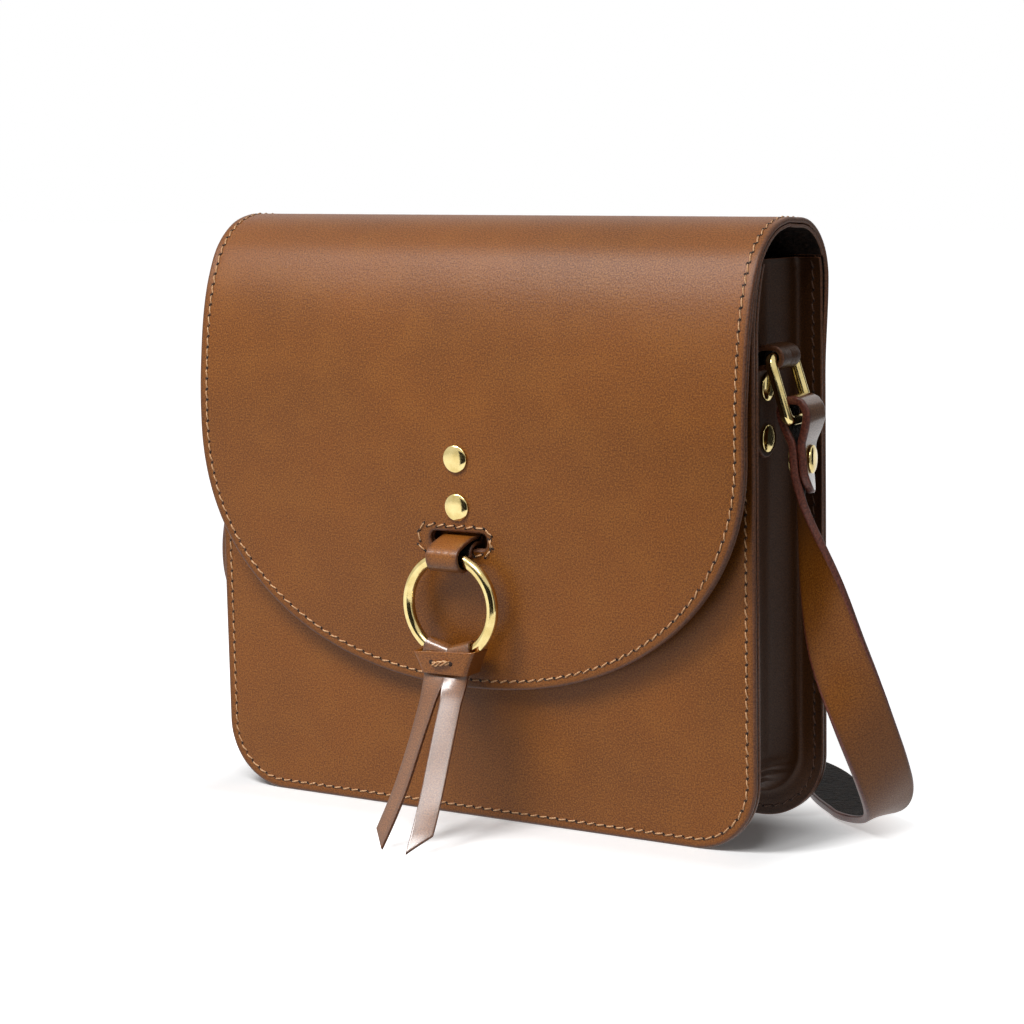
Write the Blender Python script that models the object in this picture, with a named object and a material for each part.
"""A leather crossbody bag with a rounded flap, a ring with a tassel, and a shoulder strap.

X runs along the bag's width, -Y is its front and +Z is up. The origin is the middle of the
back panel's bottom edge, half way through the leather.
"""

import math

import bmesh
import bpy
import numpy as np
from mathutils import Matrix, Vector

# Body
BODY_WIDTH = 0.230
BODY_DEPTH = 0.056
BODY_HEIGHT = 0.2045
CORNER_RADIUS = 0.025
PANEL_THICKNESS = 0.0022
GAP = 0.0003

# Gusset: one strip round the sides and the bottom, with flanges turned out to the panels
GUSSET_THICKNESS = 0.0014
MOUTH_LEAN_DROP = 0.0265
FLANGE_WIDTH = 0.0105
FLANGE_FOLD = 0.003
WEB_RECESS = 0.0144
WEB_FLAT = 0.018

# Flap
FLAP_RISE = 0.0149
FLAP_TIP = 0.0495
FLAP_SIDE_DROP = 0.0630
FLAP_OVERHANG = 0.0013
FLAP_FLARE = 0.035
FLAP_STANDOFF = 0.010
FLAP_ROUNDNESS = 2.15
SKIN_THICKNESS = 0.0020
LINING_THICKNESS = 0.0012
BACK_FOLD_RADIUS = 0.022
CROWN_DROP = 0.0003
FOLD_OFFSET = 0.0024
FRONT_FOLD_DROP = 0.0109
FRONT_FOLD_OFFSET = 0.0016

# Slot, loop and ring on the flap
SLOT_WIDTH = 0.024
SLOT_HEIGHT = 0.0058
SLOT_Z = 0.1045
LOOP_WIDTH = 0.0135
LOOP_THICKNESS = 0.0014
LOOP_TAIL_TOP = 0.1405
RING_RADIUS = 0.018
RING_WIRE = 0.0020
RING_Z = 0.0815
RING_STANDOFF = 0.0155
LOOP_SPACING = 0.0021

# Tassel
TASSEL_WIDTH = 0.0080
TASSEL_THICKNESS = 0.0012
TASSEL_X = -0.0002
TASSEL_TOP_SPREAD = 0.0012
COLLAR_TOP = 0.0656
COLLAR_TOP_TILT = 0.0008
COLLAR_TOP_SHIFT = 0.0022
COLLAR_BOTTOM = 0.0572
COLLAR_FLARE = 0.0048
COLLAR_THICKNESS = 0.0011
COLLAR_ROUND = 0.0014
TIE_LENGTH = 0.0088
TIE_RADIUS = 0.0009
TASSEL_REACH = 0.0395
TASSEL_CUT = 0.0085
FLOOR_CLEARANCE = 0.0004

# Rivets
RIVET_RADIUS = 0.005
RIVET_HEIGHT = 0.0013
RIVET_RIM = 0.0005
RIVET_HEAD = 0.0008
RIVET_SHANK = 0.0014
RIVET_RECESS = 0.0006
RIVET_CLEARANCE = 0.0003
FLAP_RIVET_Z = (0.1342, 0.1166)
TAB_RIVET_DROPS = (0.0440, 0.0620)

# Magnetic snap
MAGNET_Z = 0.0850
MAGNET_RADIUS = 0.0080
STUD_RADIUS = 0.0070
STUD_THICKNESS = 0.0010
STUD_PIN = 0.0017
STUD_PIN_LENGTH = 0.0012
PIN_CLEARANCE = 0.0008
WASHER_RADIUS = 0.0060
WASHER_THICKNESS = 0.0008

# Side tabs and the rings that they hold
TAB_WIDTH = 0.0134
TAB_THICKNESS = 0.0020
TAB_END_DROP = 0.0688
SIDE_RING_WIRE = 0.00185
SIDE_RING_WIDTH = 0.0175
SIDE_RING_HEIGHT = 0.0224
SIDE_RING_CORNER = 0.0026
SIDE_RING_DROP = 0.0332
SIDE_RING_REACH = 0.0100
SIDE_RING_TILT = math.radians(18)

# Shoulder strap
STRAP_WIDTH = 0.0210
STRAP_END_WIDTH = 0.0132
STRAP_THICKNESS = 0.0030
STRAP_LOOP_HEIGHT = 0.0210
STRAP_RIVET_DROP = 0.0140
STRAP_TWIST = math.radians(12)
STRAP_LEAN = 0.17
STRAP_POINT = 0.0075
LANE_OFFSET = 0.0190
LANE_STEP = 0.0360

# Places that the sizes above settle
HALF_WIDTH = BODY_WIDTH / 2
MOUTH_LEAN_START = BODY_HEIGHT - MOUTH_LEAN_DROP
FLAP_TOP = BODY_HEIGHT + FLAP_RISE
FLAP_SIDE_END = BODY_HEIGHT - FLAP_SIDE_DROP
FRONT_FOLD_Z = FLAP_TOP - FRONT_FOLD_DROP
TAB_RIVET_Z = tuple(BODY_HEIGHT - drop for drop in TAB_RIVET_DROPS)
TAB_END = BODY_HEIGHT - TAB_END_DROP
SIDE_RING_Z = BODY_HEIGHT - SIDE_RING_DROP
BACK_FOLD_Z = FLAP_TOP - CROWN_DROP - BACK_FOLD_RADIUS
BACK_FACE = PANEL_THICKNESS / 2
MID_Y = BACK_FACE - BODY_DEPTH / 2
FRONT_FACE = BACK_FACE - BODY_DEPTH
FLAP_HALF = HALF_WIDTH + FLAP_OVERHANG
FLAP_THICKNESS = SKIN_THICKNESS + GAP + LINING_THICKNESS
WEB_FACE = HALF_WIDTH - WEB_RECESS + GUSSET_THICKNESS / 2
RING_Y = FRONT_FACE - RING_STANDOFF
RING_TOP_Z = RING_Z + RING_RADIUS
RING_BOTTOM_Z = RING_Z - RING_RADIUS

ROUND_SIDES = 16
FINE_STEP = 0.0005
OVERRUN = 0.010

BROWN = (0.254, 0.105, 0.043)
DARK_BROWN = (0.115, 0.048, 0.024)
THREAD = (0.42, 0.26, 0.13)
BRASS = (0.80, 0.62, 0.30)
STEEL = (0.60, 0.60, 0.58)

# The flap's side view from its crown to its tip: depth ahead of the middle as a share of half
# the body's depth, stand-off as a share of FLAP_STANDOFF, height as a share of tip to top
FLAP_PROFILE_SHARES = (
    (0.143, 0.00, 1.000),
    (0.536, 0.00, 0.982),
    (0.875, 0.00, 0.936),
    (1.000, 0.25, 0.868),
    (1.000, 0.62, 0.792),
    (1.000, 0.86, 0.697),
    (1.000, 1.00, 0.592),
    (1.000, 0.98, 0.462),
    (1.000, 0.90, 0.297),
    (1.000, 0.75, 0.150),
    (1.000, 0.60, 0.000),
)

# The most that a folded strap end stands open above its rivet, as a share of the ring's wire
STRAP_SPREAD_SHARE = 1.70

# A folded strap end: height above its rivet as a share of STRAP_LOOP_HEIGHT, side of the
# fold, and how far that side stands open as a share of the ring's wire
STRAP_FOLD_SHARES = (
    (-0.348, -1, 0.00),
    (0.000, -1, 0.00),
    (0.262, -1, 0.02),
    (0.420, -1, 0.75),
    (0.620, -1, STRAP_SPREAD_SHARE),
    (0.833, -1, 2.15),
    (0.965, -1, 1.00),
    (1.000, -1, -0.45),
    (0.962, 1, 0.45),
    (0.786, 1, 1.55),
    (0.600, 1, 1.30),
    (0.420, 1, 0.60),
    (0.262, 1, 0.02),
    (0.000, 1, 0.00),
    (-0.262, 1, 0.00),
    (-0.571, 1, 0.20),
)

# A tassel strip from its collar to the floor: how far it has come forward, down and sideways
TASSEL_SWEEP_SHARES = (
    (0.10, 0.12, 0.08),
    (0.34, 0.40, 0.28),
    (0.58, 0.66, 0.52),
    (0.80, 0.85, 0.78),
    (1.00, 1.00, 1.00),
)

# The strap from its right end down to the floor: outward, backward and upward shares of the
# drop, then the turn and tilt of its width in degrees, and how far it has widened
RIGHT_DROP_SHARES = (
    (0.000, 0.000, 1.000, 288, 0, 0.00),
    (0.016, -0.004, 0.913, 305, 8, 0.10),
    (0.071, -0.020, 0.734, 341, 16, 0.70),
    (0.133, -0.040, 0.552, 368, 17, 1.00),
    (0.193, -0.020, 0.373, 398, 20, 1.00),
    (0.220, 0.056, 0.202, 413, 22, 1.00),
    (0.195, 0.152, 0.098, 420, 20, 1.00),
    (0.132, 0.226, 0.042, 414, 9, 1.00),
)
LEFT_DROP_SHARES = (
    (0.000, 0.000, 1.000, 288, 0, 0.00),
    (0.016, -0.002, 0.913, 306, 5, 0.10),
    (0.066, 0.012, 0.734, 342, 8, 0.70),
    (0.113, 0.047, 0.555, 375, 8, 1.00),
    (0.144, 0.117, 0.377, 407, 8, 1.00),
    (0.140, 0.218, 0.206, 430, 6, 1.00),
    (0.089, 0.303, 0.092, 443, 3, 1.00),
    (0.016, 0.350, 0.038, 449, 1, 1.00),
)
# Where the strap lies on the floor behind the right side: outward and backward shares of the
# drop, and how far it stands on its edge
RIGHT_FLOOR_SHARES = (
    (0.040, 0.300, 0.0),
    (-0.068, 0.410, 0.0),
    (-0.242, 0.615, 0.0),
    (-0.440, 0.745, 0.0),
)
# Across the back: place as a share of the half width, and how far it stands on its edge
FAR_LANE_SHARES = ((0.22, 0.60), (-0.05, 1.00), (-0.45, 1.00))
MIDDLE_LANE_SHARES = ((-0.45, 1.00), (-0.05, 1.00))
NEAR_LANE_SHARES = ((0.00, 1.00), (-0.25, 1.00), (-0.48, 0.50), (-0.68, 0.00), (-0.84, 0.00))
FAR_TURN_SHARE = 0.80
NEAR_TURN_SHARE = 0.30


def clear_scene():
    for obj in list(bpy.data.objects):
        bpy.data.objects.remove(obj, do_unlink=True)


def finish(obj, colour, roughness, metallic=0.0):
    """Gives the object a material of its own."""
    material = bpy.data.materials.new(obj.name)
    material.use_nodes = True
    shader = material.node_tree.nodes["Principled BSDF"]
    shader.inputs["Base Color"].default_value = (*colour, 1.0)
    shader.inputs["Roughness"].default_value = roughness
    shader.inputs["Metallic"].default_value = metallic
    obj.data.materials.append(material)
    return obj


def leather(obj, colour=BROWN):
    return finish(obj, colour, 0.45)


def brass(obj):
    return finish(obj, BRASS, 0.2, 1.0)


def placed(name, mesh):
    """Makes an object of a bmesh, with its faces turned out and round stretches smooth."""
    bmesh.ops.recalc_face_normals(mesh, faces=mesh.faces)
    data = bpy.data.meshes.new(name)
    mesh.to_mesh(data)
    mesh.free()
    data.shade_smooth()
    data.set_sharp_from_angle(angle=math.radians(35))
    obj = bpy.data.objects.new(name, data)
    bpy.context.collection.objects.link(obj)
    return obj


def skin(name, rings, closed=False):
    """A closed body over rings of points: its end rings are filled, or it runs full circle."""
    mesh = bmesh.new()
    made = [[mesh.verts.new(point) for point in ring] for ring in rings]
    pairs = list(zip(made, made[1:]))
    if closed:
        pairs.append((made[-1], made[0]))
    for one, two in pairs:
        for k in range(len(one)):
            after = (k + 1) % len(one)
            mesh.faces.new((one[k], one[after], two[after], two[k]))
    if not closed:
        mesh.faces.new(made[0])
        mesh.faces.new(made[-1])
    return placed(name, mesh)


def turned(name, profile, sides=ROUND_SIDES):
    """A body turned about its own z axis, from a profile that starts and ends on the axis."""
    mesh = bmesh.new()
    rows = []
    for radius, height in profile[1:-1]:
        angles = [2 * math.pi * k / sides for k in range(sides)]
        points = [(radius * math.cos(a), radius * math.sin(a), height) for a in angles]
        rows.append([mesh.verts.new(point) for point in points])
    for one, two in zip(rows, rows[1:]):
        for k in range(sides):
            after = (k + 1) % sides
            mesh.faces.new((one[k], one[after], two[after], two[k]))
    for row, height in ((rows[0], profile[0][1]), (rows[-1], profile[-1][1])):
        pole = mesh.verts.new((0, 0, height))
        for k in range(sides):
            mesh.faces.new((row[k], row[(k + 1) % sides], pole))
    return placed(name, mesh)


def washer(name, inner, outer, thickness):
    """A flat ring that lies on z = 0."""
    rings = []
    for k in range(ROUND_SIDES):
        angle = 2 * math.pi * k / ROUND_SIDES
        way = Vector((math.cos(angle), math.sin(angle), 0))
        up = Vector((0, 0, thickness))
        rings.append([way * inner, way * outer, way * outer + up, way * inner + up])
    return skin(name, rings, closed=True)


def wire_loop(name, path, normal, radius, sides):
    """A round wire bent along a closed flat path."""
    rings = []
    for k, point in enumerate(path):
        along = (path[(k + 1) % len(path)] - path[k - 1]).normalized()
        across = along.cross(normal)
        ring = []
        for j in range(sides):
            angle = 2 * math.pi * j / sides
            ring.append(point + radius * (math.cos(angle) * across + math.sin(angle) * normal))
        rings.append(ring)
    return skin(name, rings, closed=True)


def smooth_rows(rows, steps):
    """Rows of numbers with a smooth curve run through them, some steps to each row."""
    rows = np.array(rows, float)
    padded = np.vstack([2 * rows[0] - rows[1], rows, 2 * rows[-1] - rows[-2]])
    found = []
    for a, b, c, d in zip(padded, padded[1:], padded[2:], padded[3:]):
        for t in np.arange(steps) / steps:
            bend = (2 * a - 5 * b + 4 * c - d) * t**2 + (3 * b - a - 3 * c + d) * t**3
            found.append(b + ((c - a) * t + bend) / 2)
    found.append(rows[-1])
    return np.array(found)


def cross_section(stations, k, thickness):
    """The vectors from a station's middle to the edge of its width and to its face."""
    before = stations[max(k - 1, 0)][0]
    after = stations[min(k + 1, len(stations) - 1)][0]
    along = (after - before).normalized()
    _, width_way, half = stations[k]
    across = (width_way - along * width_way.dot(along)).normalized()
    return across * half, along.cross(across) * thickness / 2


def strip(name, stations, thickness):
    """A leather strip: each station is its middle, the way of its width, and its half width."""
    rings = []
    for k, (middle, _, _) in enumerate(stations):
        side, depth = cross_section(stations, k, thickness)
        corners = (side + depth, depth - side, -side - depth, side - depth)
        rings.append([middle + corner for corner in corners])
    return skin(name, rings)


def cutter(name, rings):
    tool = skin(name, rings)
    tool.hide_render = True
    tool.display_type = "WIRE"
    return tool


def round_cutter(name, centre, axis, radius, length):
    """A round cutter centred on a point, along an axis."""
    axis = Vector(axis)
    turn = axis.to_track_quat("Z", "Y").to_matrix()
    rings = []
    for end in (-length / 2, length / 2):
        ring = []
        for k in range(ROUND_SIDES):
            angle = 2 * math.pi * k / ROUND_SIDES
            corner = Vector((radius * math.cos(angle), radius * math.sin(angle), end))
            ring.append(centre + turn @ corner)
        rings.append(ring)
    return cutter(name, rings)


def cut(obj, tool):
    modifier = obj.modifiers.new(tool.name, "BOOLEAN")
    modifier.operation = "DIFFERENCE"
    modifier.solver = "EXACT"
    modifier.object = tool


def pivot(name, place, parent=None):
    """An empty on a joint's axis, for the pieces that turn about it."""
    empty = bpy.data.objects.new(name, None)
    bpy.context.collection.objects.link(empty)
    empty.location = place
    if parent:
        carry(empty, parent)
    return empty


def carry(obj, holder):
    """Parents an object to a pivot and leaves it where it stands."""
    obj.parent = holder
    obj.matrix_parent_inverse = Matrix.Translation(-holder.location)
    return obj


# The flap's side view
def flap_line():
    """The outer face of the back panel and flap, seen from the side, as fine points (y, z)."""
    fold_y = BACK_FACE - BACK_FOLD_RADIUS
    points = [(BACK_FACE, height) for height in np.arange(0, BACK_FOLD_Z, FINE_STEP)]
    for angle in np.linspace(0, math.pi / 2, 40):
        y = fold_y + BACK_FOLD_RADIUS * math.cos(angle)
        points.append((y, BACK_FOLD_Z + BACK_FOLD_RADIUS * math.sin(angle)))
    front = [points[-1]]
    for depth, proud, height in FLAP_PROFILE_SHARES:
        y = MID_Y - depth * BODY_DEPTH / 2 - proud * FLAP_STANDOFF
        front.append((y, FLAP_TIP + height * (FLAP_TOP - FLAP_TIP)))
    points.extend(tuple(point) for point in smooth_rows(front, 24)[1:])
    return np.array(points)


LINE = flap_line()
LINE_LENGTHS = np.concatenate([[0.0], np.cumsum(np.linalg.norm(np.diff(LINE, axis=0), axis=1))])
BACK_SPLIT = BACK_FOLD_Z + BACK_FOLD_RADIUS * math.pi / 4


def line_at(length):
    """Place and outward direction on the flap's side view, at a length from the bottom."""
    place = np.array([np.interp(length, LINE_LENGTHS, LINE[:, k]) for k in (0, 1)])
    ahead = np.array([np.interp(length + FINE_STEP, LINE_LENGTHS, LINE[:, k]) for k in (0, 1)])
    behind = np.array([np.interp(length - FINE_STEP, LINE_LENGTHS, LINE[:, k]) for k in (0, 1)])
    along = (ahead - behind) / np.linalg.norm(ahead - behind)
    return place, np.array([along[1], -along[0]])


CROWN_LENGTH = LINE_LENGTHS[int(np.argmax(LINE[:, 1]))]


def length_at_front(height):
    """Length along the side view where the flap's front is at a height."""
    front = LINE_LENGTHS > CROWN_LENGTH
    return float(np.interp(-height, -LINE[front, 1], LINE_LENGTHS[front]))


def flap_face(height):
    """The y of the flap's outer face at a height on its front."""
    return line_at(length_at_front(height))[0][0]


def mouth_lean(height):
    """How far the front panel leans back under the flap at a height."""
    share = max((height - MOUTH_LEAN_START) / (BODY_HEIGHT - MOUTH_LEAN_START), 0)
    slope = line_at(length_at_front(BODY_HEIGHT))[1]
    flap_inside = flap_face(BODY_HEIGHT) - FLAP_THICKNESS / slope[0]
    return (flap_inside + GAP * 2 - FRONT_FACE) * share * share


def body_half_width(height):
    """Half the width of the body's panels at a height."""
    drop = max(CORNER_RADIUS - height, 0)
    return HALF_WIDTH - CORNER_RADIUS + math.sqrt(max(CORNER_RADIUS**2 - drop**2, 0))


def half_width_at(length):
    """Half the width of the back panel and flap at a length along the side view."""
    height = line_at(length)[0][1]
    if length < CROWN_LENGTH:
        share = min(max((height - BACK_FOLD_Z + FLAP_FLARE) / FLAP_FLARE, 0), 1)
        return body_half_width(height) + FLAP_OVERHANG * share * share * (3 - 2 * share)
    share = min(max((FLAP_SIDE_END - height) / (FLAP_SIDE_END - FLAP_TIP), 0), 1)
    return FLAP_HALF * (1 - share**FLAP_ROUNDNESS) ** (1 / FLAP_ROUNDNESS)


def sheet(name, lengths, start, thickness):
    """Leather along the side view, its outer face a given depth inside the flap's own."""
    rings = []
    for length in lengths:
        (y, z), outward = line_at(length)
        half = half_width_at(length)
        outer = (y - outward[0] * start, z - outward[1] * start)
        inner = (outer[0] - outward[0] * thickness, outer[1] - outward[1] * thickness)
        rings.append(
            [(-half, *outer), (half, *outer), (half, *inner), (-half, *inner)]
        )
    return skin(name, rings)


FRONT_SPLIT = length_at_front(FRONT_FOLD_Z)
CORNER_SHARES = tuple(1 - math.cos(math.radians(angle)) for angle in range(0, 91, 10))
TIP_DEGREES = (0, 8, 16, 24, 32, 40, 48, 56, 64, 71, 77, 82, 86)
TIP_ANGLES = tuple(math.radians(angle) for angle in TIP_DEGREES)


def back_lengths():
    low = [CORNER_RADIUS * share for share in CORNER_SHARES]
    flare = np.linspace(BACK_FOLD_Z - FLAP_FLARE, BACK_FOLD_Z, 6)
    return low + list(flare) + list(np.linspace(BACK_FOLD_Z, BACK_SPLIT - GAP / 2, 5)[1:])


def front_lengths():
    high = list(np.linspace(FRONT_SPLIT + GAP / 2, length_at_front(FLAP_SIDE_END), 14))
    drop = FLAP_SIDE_END - FLAP_TIP
    low = [
        length_at_front(FLAP_SIDE_END - drop * math.sin(angle) ** (2 / FLAP_ROUNDNESS))
        for angle in TIP_ANGLES[1:]
    ]
    return high + low


def mouth_levels():
    """Heights up the top of the body, where its mouth bends."""
    return np.linspace(MOUTH_LEAN_START, BODY_HEIGHT, 7)


def panel_outline():
    """The body's outline in x and z from the top right, down and round to the top left."""
    points = [(HALF_WIDTH, BODY_HEIGHT)]
    for side in (1, -1):
        corner = []
        for angle in np.linspace(0, math.pi / 2, 10):
            x = HALF_WIDTH - CORNER_RADIUS + CORNER_RADIUS * math.cos(angle)
            z = CORNER_RADIUS - CORNER_RADIUS * math.sin(angle)
            corner.append((side * x, z))
        points.extend(corner if side == 1 else corner[::-1])
    points.append((-HALF_WIDTH, BODY_HEIGHT))
    return points


def front_panel():
    rings = []
    heights = [CORNER_RADIUS * share for share in CORNER_SHARES] + list(mouth_levels())
    for height in heights:
        half = body_half_width(height)
        outer = FRONT_FACE + mouth_lean(height)
        inner = outer + PANEL_THICKNESS
        ring = [(-half, outer), (half, outer), (half, inner), (-half, inner)]
        rings.append([(x, y, height) for x, y in ring])
    return leather(skin("front_panel", rings))


def gusset():
    """The side and bottom strip, swept round the body's outline."""
    reach = BODY_DEPTH / 2 - PANEL_THICKNESS - GAP - GUSSET_THICKNESS / 2
    half_section = [(0.0, reach)]
    for angle in (0, 30, 60, 90):
        turn = math.radians(angle)
        inward = FLANGE_WIDTH - FLANGE_FOLD + FLANGE_FOLD * math.sin(turn)
        half_section.append((inward, reach - FLANGE_FOLD + FLANGE_FOLD * math.cos(turn)))
    half_section.append((WEB_RECESS, WEB_FLAT / 2))
    section = half_section + [(inward, -depth) for inward, depth in reversed(half_section)]
    faces = []
    for offset in (GUSSET_THICKNESS / 2, -GUSSET_THICKNESS / 2):
        face = []
        for k, here in enumerate(section):
            before = section[max(k - 1, 0)]
            after = section[min(k + 1, len(section) - 1)]
            along = Vector((after[0] - before[0], after[1] - before[1])).normalized()
            face.append((here[0] - along[1] * offset, here[1] + along[0] * offset))
        faces.append(face)
    loop = faces[0] + faces[1][::-1]
    outline = panel_outline()
    levels = mouth_levels()[:-1]
    outline = (
        outline[:1] + [(HALF_WIDTH, z) for z in levels[::-1]]
        + outline[1:-1] + [(-HALF_WIDTH, z) for z in levels] + outline[-1:]
    )
    bend = BACK_FOLD_RADIUS - PANEL_THICKNESS
    rings = []
    for k, (x, z) in enumerate(outline):
        leans = (mouth_lean(z), bend - math.sqrt(bend**2 - max(z - BACK_FOLD_Z, 0) ** 2))
        before = outline[max(k - 1, 0)]
        after = outline[min(k + 1, len(outline) - 1)]
        if z >= CORNER_RADIUS - FINE_STEP:
            way = Vector((math.copysign(1, x), 0))
        elif z <= FINE_STEP / 10:
            way = Vector((0, -1))
        else:
            way = Vector((after[1] - before[1], before[0] - after[0])).normalized()
            way = way if way[1] < 0 else -way
        ring = []
        for u, v in loop:
            shift = leans[0] * max(v, 0) + leans[1] * min(v, 0)
            ring.append((x - way[0] * u, MID_Y - v + shift / reach, z - way[1] * u))
        rings.append(ring)
    return leather(skin("gusset", rings), DARK_BROWN)


def slot_cutter():
    """The rounded slot through the flap."""
    rings = []
    radius = SLOT_HEIGHT / 2
    outer = flap_face(SLOT_Z)
    for y in (outer - OVERRUN, outer + FLAP_THICKNESS + GAP):
        ring = []
        for side, start in ((1, -90), (-1, 90)):
            for step in range(9):
                angle = math.radians(start + step * 180 / 8)
                x = side * (SLOT_WIDTH / 2 - radius) + radius * math.cos(angle)
                ring.append((x, y, SLOT_Z + radius * math.sin(angle)))
        rings.append(ring)
    return cutter("slot_cutter", rings)


def rivet(name, place, outward, stack):
    """A two-piece rivet: place is on the leather's face, stack is the leather between its heads."""
    dome = [(0.0, RIVET_HEIGHT)]
    for share in (0.35, 0.65, 0.88):
        height = RIVET_RIM + (RIVET_HEIGHT - RIVET_RIM) * math.sqrt(1 - share**2)
        dome.append((RIVET_RADIUS * share, height))
    bore = RIVET_SHANK + RIVET_CLEARANCE
    dome += [(RIVET_RADIUS, RIVET_RIM), (RIVET_RADIUS, 0)]
    dome += [(bore, 0), (bore, RIVET_RECESS), (0.0, RIVET_RECESS)]
    cap = brass(turned(name + "_cap", dome))
    under = -stack - 2 * GAP
    tip = RIVET_RECESS - GAP
    head = [(0.0, tip), (RIVET_SHANK, tip), (RIVET_SHANK, under), (RIVET_RADIUS, under)]
    head += [(RIVET_RADIUS, under - RIVET_RIM), (RIVET_RADIUS * 0.7, under - RIVET_HEAD)]
    head.append((0.0, under - RIVET_HEAD))
    post = brass(turned(name + "_post", head))
    turn = Vector(outward).to_track_quat("Z", "Y")
    for piece in (cap, post):
        piece.rotation_mode = "QUATERNION"
        piece.rotation_quaternion = turn
        piece.location = Vector(place) + Vector(outward) * GAP
    return cap, post


def folded_strip(name, points, half, thickness, place, width_way, rounded=0.0):
    """A strip along a flat path of (a, b) points; place makes a point in space from them.

    With rounded, the strip's far end narrows over that length to a round end.
    """
    fine = smooth_rows(points, 4)
    lengths = np.concatenate([[0.0], np.cumsum(np.linalg.norm(np.diff(fine, axis=0), axis=1))])
    total = lengths[-1]
    at = list(lengths[lengths < total - rounded - thickness / 4])
    if rounded:
        at += [total - rounded * math.cos(math.radians(angle)) for angle in (0, 20, 40, 58, 74)]
    at.append(total)
    stations = []
    for length in at:
        a = float(np.interp(length, lengths, fine[:, 0]))
        b = float(np.interp(length, lengths, fine[:, 1]))
        width = half
        if rounded and length > total - rounded:
            share = (length - total + rounded) / rounded
            width = half * max(math.sqrt(max(1 - share**2, 0)), 0.2)
        stations.append((place(a, b), width_way(a, b), width))
    return strip(name, stations, thickness)


def ring_loop():
    """The strip behind the flap that comes out of the slot and round the ring's top."""
    def behind(height, layer):
        inner = flap_face(height) + FLAP_THICKNESS
        return inner + GAP + LOOP_THICKNESS / 2 + layer * (LOOP_THICKNESS + GAP)

    heights = (LOOP_TAIL_TOP, FLAP_RIVET_Z[0], FLAP_RIVET_Z[1], SLOT_Z + SLOT_HEIGHT * 0.6)
    path = [(behind(height, 0), height) for height in heights]
    skin_y = flap_face(SLOT_Z)
    half_step = LOOP_SPACING / 2
    hug = RING_WIRE + 2 * GAP + LOOP_THICKNESS / 2
    path += [
        (behind(SLOT_Z, 0) - LOOP_THICKNESS * 0.35, SLOT_Z + SLOT_HEIGHT * 0.3),
        (skin_y + FLAP_THICKNESS / 2, SLOT_Z + half_step),
        (skin_y - LOOP_THICKNESS, SLOT_Z + half_step * 0.6),
    ]
    sag = RING_RADIUS - math.sqrt(RING_RADIUS**2 - (LOOP_WIDTH / 2) ** 2) + GAP
    for angle in (65, 115, 165, 215, 265, 310):
        turn = math.radians(angle)
        away = hug + sag * math.hypot(min(math.cos(turn), 0), min(math.sin(turn), 0))
        path.append((RING_Y + away * math.cos(turn), RING_TOP_Z + away * math.sin(turn)))
    path += [
        (skin_y - LOOP_THICKNESS * 1.1, SLOT_Z - half_step * 2.6),
        (skin_y + FLAP_THICKNESS * 0.4, SLOT_Z - half_step),
        (behind(SLOT_Z, 0) + LOOP_THICKNESS * 0.4, SLOT_Z - half_step * 0.8),
        (behind(SLOT_Z, 1), SLOT_Z + half_step * 1.2),
    ]
    path += [(behind(height, 1), height) for height in reversed(heights)]
    across = Vector((1, 0, 0))
    return leather(
        folded_strip(
            "ring_loop", path, LOOP_WIDTH / 2, LOOP_THICKNESS,
            lambda y, z: Vector((0, y, z)), lambda y, z: across,
        )
    )


def o_ring():
    path = []
    for k in range(40):
        angle = 2 * math.pi * k / 40
        x = RING_RADIUS * math.cos(angle)
        path.append(Vector((x, RING_Y, RING_Z + RING_RADIUS * math.sin(angle))))
    return brass(wire_loop("o_ring", path, Vector((0, 1, 0)), RING_WIRE, 10))


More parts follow.
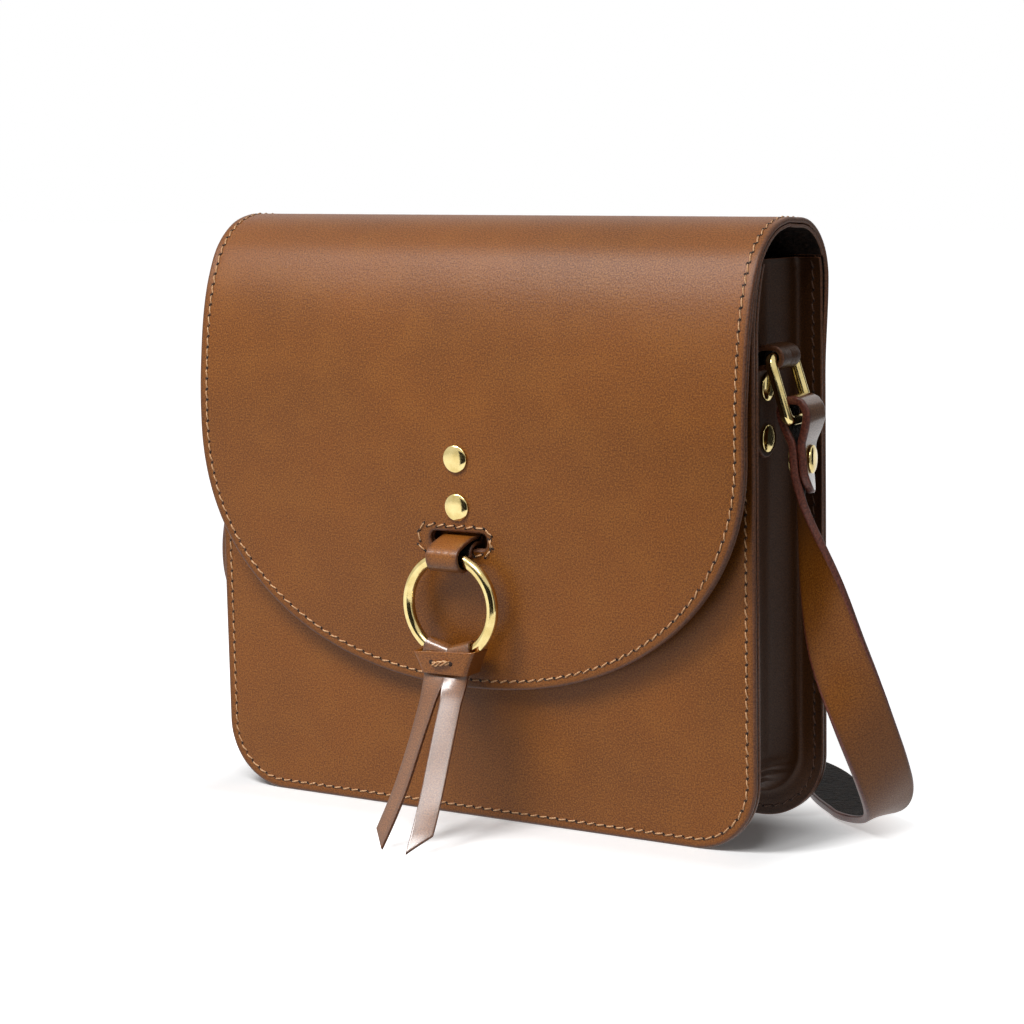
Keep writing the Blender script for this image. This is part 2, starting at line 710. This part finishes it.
def tassel_strip(side):
    """One tassel strip: up behind, over the ring, down through the collar and out to the floor."""
    top_x = side * (TASSEL_WIDTH / 2 + TASSEL_TOP_SPREAD)
    lean = math.asin(top_x / RING_RADIUS)
    hug = RING_WIRE + GAP + TASSEL_THICKNESS / 2
    middle_x = TASSEL_X + side * (TASSEL_WIDTH / 2 + GAP)
    centre = Vector((top_x, RING_Y, RING_Z - RING_RADIUS * math.cos(lean)))
    inward = Vector((-math.sin(lean), 0, math.cos(lean)))
    sag = RING_RADIUS - math.sqrt(RING_RADIUS**2 - (TASSEL_WIDTH / 2) ** 2) + GAP
    back = Vector((0, 1, 0))
    front_y = RING_Y - hug - GAP
    flat = Vector((1, 0, 0))
    tilted = Vector((math.cos(lean), 0, math.sin(lean)))
    rows = [
        (Vector((middle_x, RING_Y + hug, COLLAR_BOTTOM + GAP)), flat),
        (Vector((middle_x * 0.8 + top_x * 0.2, RING_Y + hug, (COLLAR_BOTTOM + centre.z) / 2)), flat),
        (centre + back * hug, tilted),
        (centre + (back + inward) * (hug + sag) * math.sqrt(0.5), tilted),
        (centre + inward * (hug + sag), tilted),
        (centre + (inward - back) * (hug + sag) * math.sqrt(0.5), tilted),
        (centre - back * hug, tilted),
        (Vector((middle_x * 0.8 + top_x * 0.2, front_y, (COLLAR_BOTTOM + centre.z) / 2)), flat),
        (Vector((middle_x, front_y, COLLAR_BOTTOM)), flat),
    ]
    spread = TASSEL_WIDTH * (0.15 if side < 0 else 1.0)
    lowest = TASSEL_THICKNESS / 2 + FLOOR_CLEARANCE
    for out, down, swing in TASSEL_SWEEP_SHARES:
        x = middle_x + side * spread * swing
        y = front_y - TASSEL_REACH * out
        rows.append((Vector((x, y, COLLAR_BOTTOM + (lowest - COLLAR_BOTTOM) * down)), flat))
    table = smooth_rows([(*middle, *way) for middle, way in rows], 3)
    stations = [(Vector(row[:3]), Vector(row[3:]), TASSEL_WIDTH / 2) for row in table]
    name = "tassel_strip_" + ("right" if side > 0 else "left")
    obj = leather(strip(name, stations, TASSEL_THICKNESS))
    end = stations[-1][0]
    along = (end - stations[-3][0]).normalized()
    face = along.cross(flat).normalized()
    corner = end - flat * side * TASSEL_WIDTH / 2
    high = end + flat * side * TASSEL_WIDTH / 2 - along * TASSEL_CUT
    way = (corner - high).normalized()
    start = high - way * OVERRUN
    stop = corner + way * OVERRUN
    box = [start, stop, stop + along * OVERRUN * 2, start + along * OVERRUN * 2]
    thick = face * TASSEL_THICKNESS * 2
    cut(obj, cutter(name + "_cutter", [[p - thick for p in box], [p + thick for p in box]]))
    return obj


def collar_ring(half, depth, height, middle, tilt):
    """One round-cornered level of the collar, tilted by a height over its half width."""
    points = []
    radius = COLLAR_ROUND
    for sx, sy, start in ((1, 1, 0), (-1, 1, 90), (-1, -1, 180), (1, -1, 270)):
        for angle in (0, 30, 60, 90):
            turn = math.radians(start + angle)
            x = middle + sx * (half - radius) + radius * math.cos(turn)
            y = RING_Y + sy * (depth - radius) + radius * math.sin(turn)
            points.append((x, y, height + tilt * (x - middle) / half))
    return points


def tassel_collar():
    """The leather band round both tassel strips, wider at its top."""
    inner_half = TASSEL_WIDTH + 2 * GAP
    inner_depth = RING_WIRE + TASSEL_THICKNESS + 4 * GAP
    rings = []
    for top, wall in ((0, 0), (0, COLLAR_THICKNESS), (1, COLLAR_THICKNESS), (1, 0)):
        half = inner_half + wall + top * COLLAR_FLARE
        height = COLLAR_TOP if top else COLLAR_BOTTOM
        middle = TASSEL_X + top * COLLAR_TOP_SHIFT
        rings.append(collar_ring(half, inner_depth + wall, height, middle, top * COLLAR_TOP_TILT))
    return leather(skin("tassel_collar", rings, closed=True))


def tassel_tie():
    """The knot of thread that holds the collar's front."""
    front = RING_Y - RING_WIRE - TASSEL_THICKNESS - 4 * GAP - COLLAR_THICKNESS
    height = (COLLAR_TOP + COLLAR_BOTTOM) / 2
    rings = []
    for share in (-1.0, -0.8, -0.4, 0.0, 0.4, 0.8, 1.0):
        swell = TIE_RADIUS * (0.35 + 0.65 * math.sqrt(1 - min(abs(share), 0.98) ** 2))
        ring = []
        for k in range(8):
            angle = 2 * math.pi * k / 8
            y = front - GAP - TIE_RADIUS + swell * math.cos(angle)
            ring.append((TASSEL_X + share * TIE_LENGTH / 2, y, height + swell * math.sin(angle)))
        rings.append(ring)
    return finish(skin("tassel_tie", rings), THREAD, 0.8)


def magnet_parts():
    """The snap under the flap: a stud on the lining, a socket on the front panel, its washer."""
    (flap_y, flap_z), outward = line_at(length_at_front(MAGNET_Z))
    facing = Vector((0, -outward[0], -outward[1]))
    under_flap = Vector((0, flap_y, flap_z)) + facing * (FLAP_THICKNESS + 2 * GAP)
    slope = abs(outward[1] / outward[0])
    socket_depth = FRONT_FACE - under_flap.y - 3 * GAP - STUD_THICKNESS - MAGNET_RADIUS * slope
    shank = RIVET_SHANK
    hole = STUD_PIN + PIN_CLEARANCE
    through = -PANEL_THICKNESS - GAP - WASHER_THICKNESS
    stud = turned("magnet_stud", [
        (0.0, 0.0), (STUD_RADIUS, 0.0), (STUD_RADIUS, STUD_THICKNESS),
        (STUD_PIN, STUD_THICKNESS), (STUD_PIN, STUD_THICKNESS + STUD_PIN_LENGTH),
        (0.0, STUD_THICKNESS + STUD_PIN_LENGTH),
    ])
    socket = turned("magnet_socket", [
        (0.0, socket_depth - STUD_PIN_LENGTH - GAP), (hole, socket_depth - STUD_PIN_LENGTH - GAP),
        (hole, socket_depth), (MAGNET_RADIUS, socket_depth), (MAGNET_RADIUS, 0.0),
        (shank, 0.0), (shank, through - GAP), (0.0, through - GAP),
    ])
    ring = washer("magnet_washer", shank + RIVET_CLEARANCE, WASHER_RADIUS, WASHER_THICKNESS)
    for piece, place, way in (
        (stud, under_flap, facing),
        (socket, Vector((0, FRONT_FACE - GAP, MAGNET_Z)), Vector((0, -1, 0))),
        (ring, Vector((0, FRONT_FACE + PANEL_THICKNESS + GAP, MAGNET_Z)), Vector((0, 1, 0))),
    ):
        piece.rotation_mode = "QUATERNION"
        piece.rotation_quaternion = way.to_track_quat("Z", "Y")
        piece.location = place
        finish(piece, STEEL, 0.35, 1.0)
    return stud, socket, ring


def side_tab(side):
    """The leather tab riveted to the gusset, folded over the side ring's top bar."""
    inner = WEB_FACE + GAP + TAB_THICKNESS / 2
    outer = inner + TAB_THICKNESS + GAP
    bar_x = WEB_FACE + SIDE_RING_REACH
    hug = SIDE_RING_WIRE + 2 * GAP + TAB_THICKNESS / 2
    flat_top = TAB_RIVET_Z[0] + RIVET_RADIUS
    neck = SIDE_RING_Z - hug
    path = [
        (inner, TAB_END + TAB_THICKNESS),
        (inner, TAB_RIVET_Z[1]),
        (inner, (TAB_RIVET_Z[0] + TAB_RIVET_Z[1]) / 2),
        (inner, TAB_RIVET_Z[0]),
        (inner, flat_top + GAP),
        (inner + TAB_THICKNESS * 0.2, SIDE_RING_Z),
        (inner + TAB_THICKNESS * 1.5, SIDE_RING_Z + hug * 0.85),
        (bar_x - hug * 0.7, SIDE_RING_Z + hug * 1.02),
    ]
    for angle in (75, 40, 5, -30, -65, -95):
        turn = math.radians(angle)
        path.append((bar_x + hug * math.cos(turn), SIDE_RING_Z + hug * math.sin(turn)))
    path += [
        (outer + TAB_THICKNESS * 0.75, neck - GAP),
        (outer + GAP / 2, flat_top),
        (outer, TAB_RIVET_Z[0]),
        (outer, (TAB_RIVET_Z[0] + TAB_RIVET_Z[1]) / 2),
        (outer, TAB_RIVET_Z[1]),
        (outer, TAB_END + TAB_WIDTH / 4),
        (outer, TAB_END),
    ]
    across = Vector((0, 1, 0))
    return leather(
        folded_strip(
            "side_tab_" + ("right" if side > 0 else "left"), path, TAB_WIDTH / 2, TAB_THICKNESS,
            lambda x, z: Vector((side * x, MID_Y, z)), lambda x, z: across, rounded=TAB_WIDTH / 2,
        ),
        DARK_BROWN,
    )


def side_ring(side):
    """The rectangular ring that hangs in the tab."""
    top = Vector((side * (WEB_FACE + SIDE_RING_REACH), MID_Y, SIDE_RING_Z))
    down = Vector((side * math.sin(SIDE_RING_TILT), 0, -math.cos(SIDE_RING_TILT)))
    across = Vector((0, 1, 0))
    half = SIDE_RING_WIDTH / 2
    path = []
    for sx, far, start in ((1, 1, 0), (-1, 1, 90), (-1, 0, 180), (1, 0, 270)):
        for angle in (0, 30, 60, 90):
            turn = math.radians(start + angle)
            a = sx * (half - SIDE_RING_CORNER) + SIDE_RING_CORNER * math.cos(turn)
            inset = SIDE_RING_HEIGHT - SIDE_RING_CORNER if far else SIDE_RING_CORNER
            b = inset + SIDE_RING_CORNER * math.sin(turn)
            path.append(top + across * a + down * b)
    name = "side_ring_" + ("right" if side > 0 else "left")
    return brass(wire_loop(name, path, across.cross(down), SIDE_RING_WIRE, 10))


def strap_bar():
    """Place of the side ring's bottom bar, as x and z on the right side."""
    x = WEB_FACE + SIDE_RING_REACH + SIDE_RING_HEIGHT * math.sin(SIDE_RING_TILT)
    return x, SIDE_RING_Z - SIDE_RING_HEIGHT * math.cos(SIDE_RING_TILT)


def strap_axis(height):
    """The x of the middle of the folded strap end at a height, on the right side."""
    bar_x, bar_z = strap_bar()
    open_half = (STRAP_THICKNESS + GAP) / 2 + SIDE_RING_WIRE * STRAP_SPREAD_SHARE
    above = bar_x - SIDE_RING_WIRE - GAP - STRAP_THICKNESS / 2 + open_half
    return above + max(bar_z - STRAP_RIVET_DROP - RIVET_RADIUS - height, 0) * STRAP_LEAN


def strap_twist(height):
    """How far the strap end has turned about the vertical at a height."""
    bar_z = strap_bar()[1]
    return STRAP_TWIST * max(bar_z - height, 0) / STRAP_RIVET_DROP


def strap_way(height, side):
    turn = strap_twist(height)
    return Vector((side * math.sin(turn), -math.cos(turn), 0))


def strap_end(side):
    """The strap's folded end: round the side ring's bar, and down over itself to a point."""
    rivet_z = strap_bar()[1] - STRAP_RIVET_DROP
    path = []
    for height_share, fold, spread in STRAP_FOLD_SHARES:
        height = rivet_z + height_share * STRAP_LOOP_HEIGHT
        offset = (STRAP_THICKNESS + GAP) / 2 + SIDE_RING_WIRE * spread
        path.append((fold * offset, height))

    def place(offset, height):
        turn = strap_twist(height)
        x = strap_axis(height) + offset * math.cos(turn)
        return Vector((side * x, MID_Y + offset * math.sin(turn), height))

    return leather(
        folded_strip(
            "strap_end_" + ("right" if side > 0 else "left"), path, STRAP_END_WIDTH / 2,
            STRAP_THICKNESS, place, lambda offset, height: strap_way(height, side),
            rounded=STRAP_POINT,
        )
    )


def strap_start():
    """Where the strap leaves its folded end on the right side."""
    rivet_z = strap_bar()[1] - STRAP_RIVET_DROP
    height = rivet_z + STRAP_FOLD_SHARES[0][0] * STRAP_LOOP_HEIGHT - GAP
    turn = strap_twist(height)
    offset = -(STRAP_THICKNESS + GAP) / 2
    x = strap_axis(height) + offset * math.cos(turn)
    return Vector((x, MID_Y + offset * math.sin(turn), height))


def strap_rows():
    """Rows along the strap: place, turn and tilt of its width in degrees, and half width."""
    start = strap_start()
    narrow = STRAP_END_WIDTH / 2
    wide = STRAP_WIDTH / 2

    def resting(edge):
        tilt = math.radians(90 * edge)
        reach = wide * math.sin(tilt) + STRAP_THICKNESS / 2 * math.cos(tilt)
        return reach + FLOOR_CLEARANCE

    def drop_rows(shares, side):
        rows = []
        for out, back, up, turn, tilt, widened in shares:
            x = side * (start.x + out * start.z)
            y = start.y + back * start.z
            heading = turn if side > 0 else 900 - turn
            half = narrow + (wide - narrow) * widened
            rows.append((x, y, up * start.z, heading, tilt, half))
        return rows

    floor = []
    for out, back, edge in RIGHT_FLOOR_SHARES:
        floor.append((start.x + out * start.z, start.y + back * start.z, edge))
    near = BACK_FACE + LANE_OFFSET
    middle = near + LANE_STEP
    far = middle + LANE_STEP
    floor += [(HALF_WIDTH * share, far, edge) for share, edge in FAR_LANE_SHARES]
    for angle in (90, 135, 180, 225, 270):
        turn = math.radians(angle)
        x = -HALF_WIDTH * FAR_TURN_SHARE + LANE_STEP / 2 * math.cos(turn)
        floor.append((x, (far + middle) / 2 + LANE_STEP / 2 * math.sin(turn), 1.0))
    floor += [(HALF_WIDTH * share, middle, edge) for share, edge in MIDDLE_LANE_SHARES]
    for angle in (90, 45, 0, -45, -90):
        turn = math.radians(angle)
        x = HALF_WIDTH * NEAR_TURN_SHARE + LANE_STEP / 2 * math.cos(turn)
        floor.append((x, (near + middle) / 2 + LANE_STEP / 2 * math.sin(turn), 1.0))
    floor += [(HALF_WIDTH * share, near, edge) for share, edge in NEAR_LANE_SHARES]
    rows = drop_rows(RIGHT_DROP_SHARES, 1)
    last = rows[-1]
    heading = last[3]
    for k, (x, y, edge) in enumerate(floor):
        before = floor[k - 1] if k else last
        after = floor[min(k + 1, len(floor) - 1)]
        turn = math.degrees(math.atan2(after[1] - before[1], after[0] - before[0])) - 90
        heading = turn + 360 * round((heading - turn) / 360)
        rows.append((x, y, resting(edge), heading, 90 * edge, wide))
    return rows + drop_rows(LEFT_DROP_SHARES, -1)[::-1]


def shoulder_strap():
    table = smooth_rows(strap_rows(), 4)
    stations = []
    for x, y, z, turn, tilt, half in table:
        turn = math.radians(turn)
        tilt = math.radians(min(tilt, 90))
        flat = math.cos(tilt)
        way = Vector((flat * math.cos(turn), flat * math.sin(turn), math.sin(tilt)))
        stations.append((Vector((x, y, z)), way, half))
    for _ in range(3):
        for k, (middle, _, _) in enumerate(stations):
            side, depth = cross_section(stations, k, STRAP_THICKNESS)
            middle.z = max(middle.z, abs(side.z) + abs(depth.z) + FLOOR_CLEARANCE)
    return leather(strip("shoulder_strap", stations, STRAP_THICKNESS))


def build():
    clear_scene()
    reach = (BACK_FOLD_RADIUS + FOLD_OFFSET) * math.sqrt(0.5)
    back_fold = pivot("flap_back_fold", (0, BACK_FACE - BACK_FOLD_RADIUS + reach, BACK_FOLD_Z + reach))
    (split_y, split_z), outward = line_at(FRONT_SPLIT)
    front_fold = pivot(
        "flap_front_fold",
        (0, split_y + outward[0] * FRONT_FOLD_OFFSET, split_z + outward[1] * FRONT_FOLD_OFFSET),
        back_fold,
    )
    ring_pivot = pivot("ring_pivot", (0, RING_Y, RING_TOP_Z), front_fold)
    tassel_pivot = pivot("tassel_pivot", (0, RING_Y, RING_BOTTOM_Z), ring_pivot)

    front = front_panel()
    back = leather(sheet("back_panel", back_lengths(), 0, PANEL_THICKNESS))
    side_strip = gusset()
    top_lengths = list(np.linspace(BACK_SPLIT + GAP / 2, FRONT_SPLIT - GAP / 2, 16))
    flap_top = leather(sheet("flap_top", top_lengths, 0, SKIN_THICKNESS))
    flap_front = leather(sheet("flap_front", front_lengths(), 0, SKIN_THICKNESS))
    under = SKIN_THICKNESS + GAP
    back_under = PANEL_THICKNESS + GAP
    rise = (BODY_HEIGHT + GAP - BACK_FOLD_Z) / (BACK_FOLD_RADIUS - back_under - LINING_THICKNESS)
    mouth = BACK_FOLD_Z + BACK_FOLD_RADIUS * math.asin(rise)
    mouth_lengths = list(np.linspace(mouth, BACK_SPLIT - GAP / 2, 5))
    back_lining = sheet("flap_lining_back", mouth_lengths, back_under, LINING_THICKNESS)
    top_lining = sheet("flap_lining_top", top_lengths, under, LINING_THICKNESS)
    front_lining = sheet("flap_lining_front", front_lengths(), under, LINING_THICKNESS)
    for lining in (back_lining, top_lining, front_lining):
        leather(lining, DARK_BROWN)

    slot = slot_cutter()
    cut(flap_front, slot)
    cut(front_lining, slot)
    loop = ring_loop()
    hole = RIVET_SHANK + RIVET_CLEARANCE
    stack = FLAP_THICKNESS + 2 * (GAP + LOOP_THICKNESS)
    for label, height in zip(("upper", "lower"), FLAP_RIVET_Z):
        face = Vector((0, flap_face(height), height))
        tool = round_cutter("flap_hole_" + label, face, (0, 1, 0), hole, OVERRUN * 2)
        for piece in (flap_front, front_lining, loop):
            cut(piece, tool)
        for piece in rivet("flap_rivet_" + label, face, (0, -1, 0), stack):
            carry(piece, front_fold)
    stud, _, _ = magnet_parts()
    snap = Vector((0, FRONT_FACE + PANEL_THICKNESS / 2, MAGNET_Z))
    cut(front, round_cutter("snap_hole", snap, (0, 1, 0), hole, PANEL_THICKNESS * 3))
    for piece in (flap_front, front_lining, loop, stud):
        carry(piece, front_fold)
    for piece in (flap_top, top_lining):
        carry(piece, back_fold)

    carry(o_ring(), ring_pivot)
    for piece in (tassel_strip(-1), tassel_strip(1), tassel_collar(), tassel_tie()):
        carry(piece, tassel_pivot)

    tab_stack = GUSSET_THICKNESS + 2 * (TAB_THICKNESS + GAP)
    for side, word in ((1, "right"), (-1, "left")):
        tab = side_tab(side)
        face_x = WEB_FACE + 2 * (TAB_THICKNESS + GAP)
        for label, height in zip(("upper", "lower"), TAB_RIVET_Z):
            face = Vector((side * face_x, MID_Y, height))
            tool = round_cutter("tab_hole_" + word + "_" + label, face, (1, 0, 0), hole, OVERRUN * 2)
            cut(tab, tool)
            cut(side_strip, tool)
            rivet("tab_rivet_" + word + "_" + label, face, (side, 0, 0), tab_stack)
        holder = pivot(
            "side_ring_pivot_" + word, (side * (WEB_FACE + SIDE_RING_REACH), MID_Y, SIDE_RING_Z)
        )
        carry(side_ring(side), holder)
        end = carry(strap_end(side), holder)
        rivet_z = strap_bar()[1] - STRAP_RIVET_DROP
        turn = strap_twist(rivet_z)
        outward = Vector((side * math.cos(turn), math.sin(turn), 0))
        middle = Vector((side * strap_axis(rivet_z), MID_Y, rivet_z))
        strap_stack = 2 * STRAP_THICKNESS + GAP
        cut(end, round_cutter("strap_hole_" + word, middle, outward, hole, OVERRUN * 2))
        face = middle + outward * strap_stack / 2
        for piece in rivet("strap_rivet_" + word, face, outward, strap_stack):
            carry(piece, holder)
    shoulder_strap()


build()
